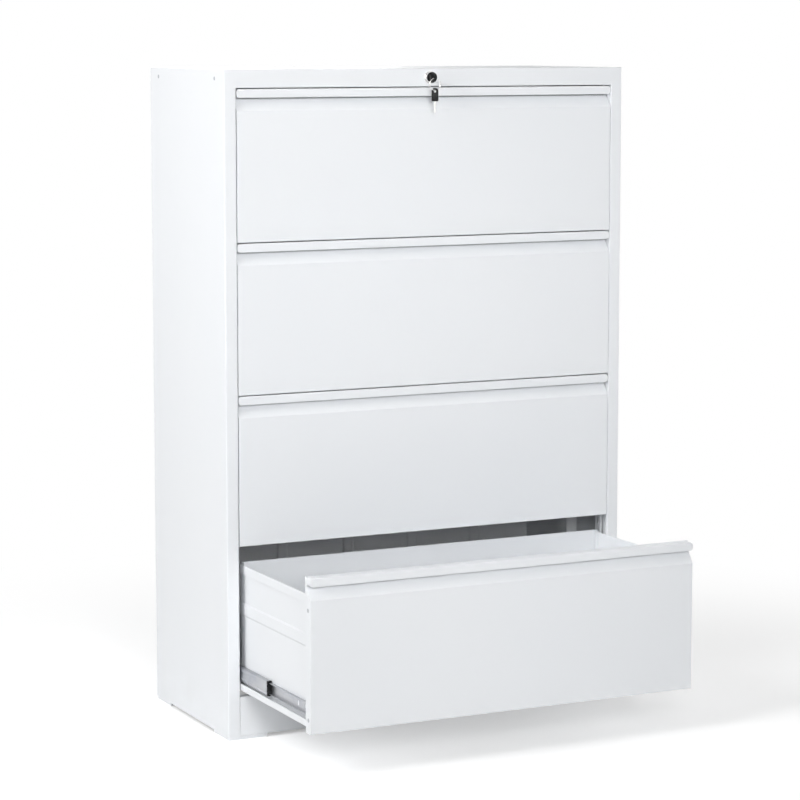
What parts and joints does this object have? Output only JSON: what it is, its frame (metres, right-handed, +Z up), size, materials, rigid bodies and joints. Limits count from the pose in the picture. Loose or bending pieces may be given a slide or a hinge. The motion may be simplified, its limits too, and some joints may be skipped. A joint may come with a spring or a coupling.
{
  "type": "filing cabinet",
  "caption": "Wide lateral filing cabinet in white enamelled steel with full-width drawers on ball slides, integral lip pulls and a cam lock that drops a rod across the drawers.",
  "frame": {"origin": "on the floor, at mid width and at the middle of the plan's depth with the bottom drawer out as it stands at rest", "axes": "+Z up, +Y from the drawer fronts to the back, +X to the right seen from the front"},
  "size_m": [0.9016, 0.743, 1.34],
  "materials": {
    "white_enamel": "semi-gloss powder coat with a faint orange peel",
    "zinc_plated": "bright zinc plating with rolling marks",
    "bright_metal": "nickel plated, polished",
    "black_plastic": "matt moulded plastic"
  },
  "bodies": {
    "cabinet": {"side_panel_left": "white_enamel", "side_panel_right": "white_enamel", "top_cap": "white_enamel", "cap_screws": "zinc_plated", "kick_rail": "white_enamel", "corner_feet": "white_enamel", "back_panel": "white_enamel", "slide_uprights": "white_enamel", "cabinet_members_left": "zinc_plated", "cabinet_members_right": "zinc_plated", "lock_barrel": "black_plastic", "lock_flange_ring": "bright_metal", "lock_nut": "bright_metal", "rod_guides": "zinc_plated"},
    "drawer_1": {"drawer_1_front": "white_enamel", "drawer_1_side_left": "white_enamel", "drawer_1_side_right": "white_enamel", "drawer_1_back": "white_enamel", "drawer_1_bottom": "white_enamel", "drawer_1_plugs": "zinc_plated", "drawer_1_slide_members": "zinc_plated"},
    "drawer_1_middle": {"drawer_1_middle_members": "zinc_plated", "drawer_1_ball_cages": "black_plastic"},
    "drawer_2": {"drawer_2_front": "white_enamel", "drawer_2_side_left": "white_enamel", "drawer_2_side_right": "white_enamel", "drawer_2_back": "white_enamel", "drawer_2_bottom": "white_enamel", "drawer_2_plugs": "zinc_plated", "drawer_2_slide_members": "zinc_plated"},
    "drawer_2_middle": {"drawer_2_middle_members": "zinc_plated", "drawer_2_ball_cages": "black_plastic"},
    "drawer_3": {"drawer_3_front": "white_enamel", "drawer_3_side_left": "white_enamel", "drawer_3_side_right": "white_enamel", "drawer_3_back": "white_enamel", "drawer_3_bottom": "white_enamel", "drawer_3_plugs": "zinc_plated", "drawer_3_slide_members": "zinc_plated"},
    "drawer_3_middle": {"drawer_3_middle_members": "zinc_plated", "drawer_3_ball_cages": "black_plastic"},
    "drawer_4": {"drawer_4_front": "white_enamel", "drawer_4_side_left": "white_enamel", "drawer_4_side_right": "white_enamel", "drawer_4_back": "white_enamel", "drawer_4_bottom": "white_enamel", "drawer_4_plugs": "zinc_plated", "drawer_4_slide_members": "zinc_plated"},
    "drawer_4_middle": {"drawer_4_middle_members": "zinc_plated", "drawer_4_ball_cages": "black_plastic"},
    "lock": {"lock_plug": "bright_metal", "lock_cam": "zinc_plated", "key_head": "black_plastic", "key_blade": "bright_metal"},
    "link": {"link_bar": "zinc_plated"},
    "rod": {"lock_rod": "zinc_plated"},
    "ring": {"key_ring": "bright_metal"},
    "spare_key": {"spare_key_head": "black_plastic", "spare_key_blade": "bright_metal"}
  },
  "joints": [
    {"name": "drawer_1_slide", "type": "slide", "parent": "cabinet", "child": "drawer_1", "axis": [0, -1, 0], "range_m": [0, 0.353], "deforming": ["key_ring", "spare_key_head", "spare_key_blade"]},
    {"name": "drawer_1_middle_slide", "type": "slide", "parent": "cabinet", "child": "drawer_1_middle", "axis": [0, -1, 0], "range_m": [0, 0.1766]},
    {"name": "drawer_2_slide", "type": "slide", "parent": "cabinet", "child": "drawer_2", "axis": [0, -1, 0], "range_m": [0, 0.353]},
    {"name": "drawer_2_middle_slide", "type": "slide", "parent": "cabinet", "child": "drawer_2_middle", "axis": [0, -1, 0], "range_m": [0, 0.1766]},
    {"name": "drawer_3_slide", "type": "slide", "parent": "cabinet", "child": "drawer_3", "axis": [0, -1, 0], "range_m": [0, 0.353]},
    {"name": "drawer_3_middle_slide", "type": "slide", "parent": "cabinet", "child": "drawer_3_middle", "axis": [0, -1, 0], "range_m": [0, 0.1766]},
    {"name": "drawer_4_slide", "type": "slide", "parent": "cabinet", "child": "drawer_4", "axis": [0, -1, 0], "range_m": [-0.343, 0.01]},
    {"name": "drawer_4_middle_slide", "type": "slide", "parent": "cabinet", "child": "drawer_4_middle", "axis": [0, -1, 0], "range_m": [-0.1716, 0.0051]},
    {"name": "lock_turn", "type": "hinge", "parent": "cabinet", "child": "lock", "pos_m": [0, -0.0285, 1.322], "axis": [0, 1, 0], "range_deg": [0, 90]},
    {"name": "link_slide", "type": "slide", "parent": "cabinet", "child": "link", "axis": [-1, 0, 0], "range_m": [0, 0.01697]},
    {"name": "rod_drop", "type": "slide", "parent": "cabinet", "child": "rod", "axis": [0, 0, -1], "range_m": [0, 0.0121]},
    {"name": "ring_swing", "type": "hinge", "parent": "lock", "child": "ring", "pos_m": [0, -0.0519, 1.32025], "axis": [-1, 0, 0], "range_deg": [-8, 80]},
    {"name": "spare_key_swing", "type": "hinge", "parent": "ring", "child": "spare_key", "pos_m": [0, -0.0519, 1.29625], "axis": [-1, 0, 0], "range_deg": [-8, 20]}
  ],
  "couplings": [
    {"joint": "drawer_1_middle_slide", "follows": "drawer_1_slide", "ratio": 0.5},
    {"joint": "drawer_2_middle_slide", "follows": "drawer_2_slide", "ratio": 0.5},
    {"joint": "drawer_3_middle_slide", "follows": "drawer_3_slide", "ratio": 0.5},
    {"joint": "drawer_4_middle_slide", "follows": "drawer_4_slide", "ratio": 0.5},
    {"joint": "lock_turn", "follows": "link_slide", "rad_per_m": 92.56},
    {"joint": "rod_drop", "follows": "link_slide", "ratio": 0.70711}
  ]
}
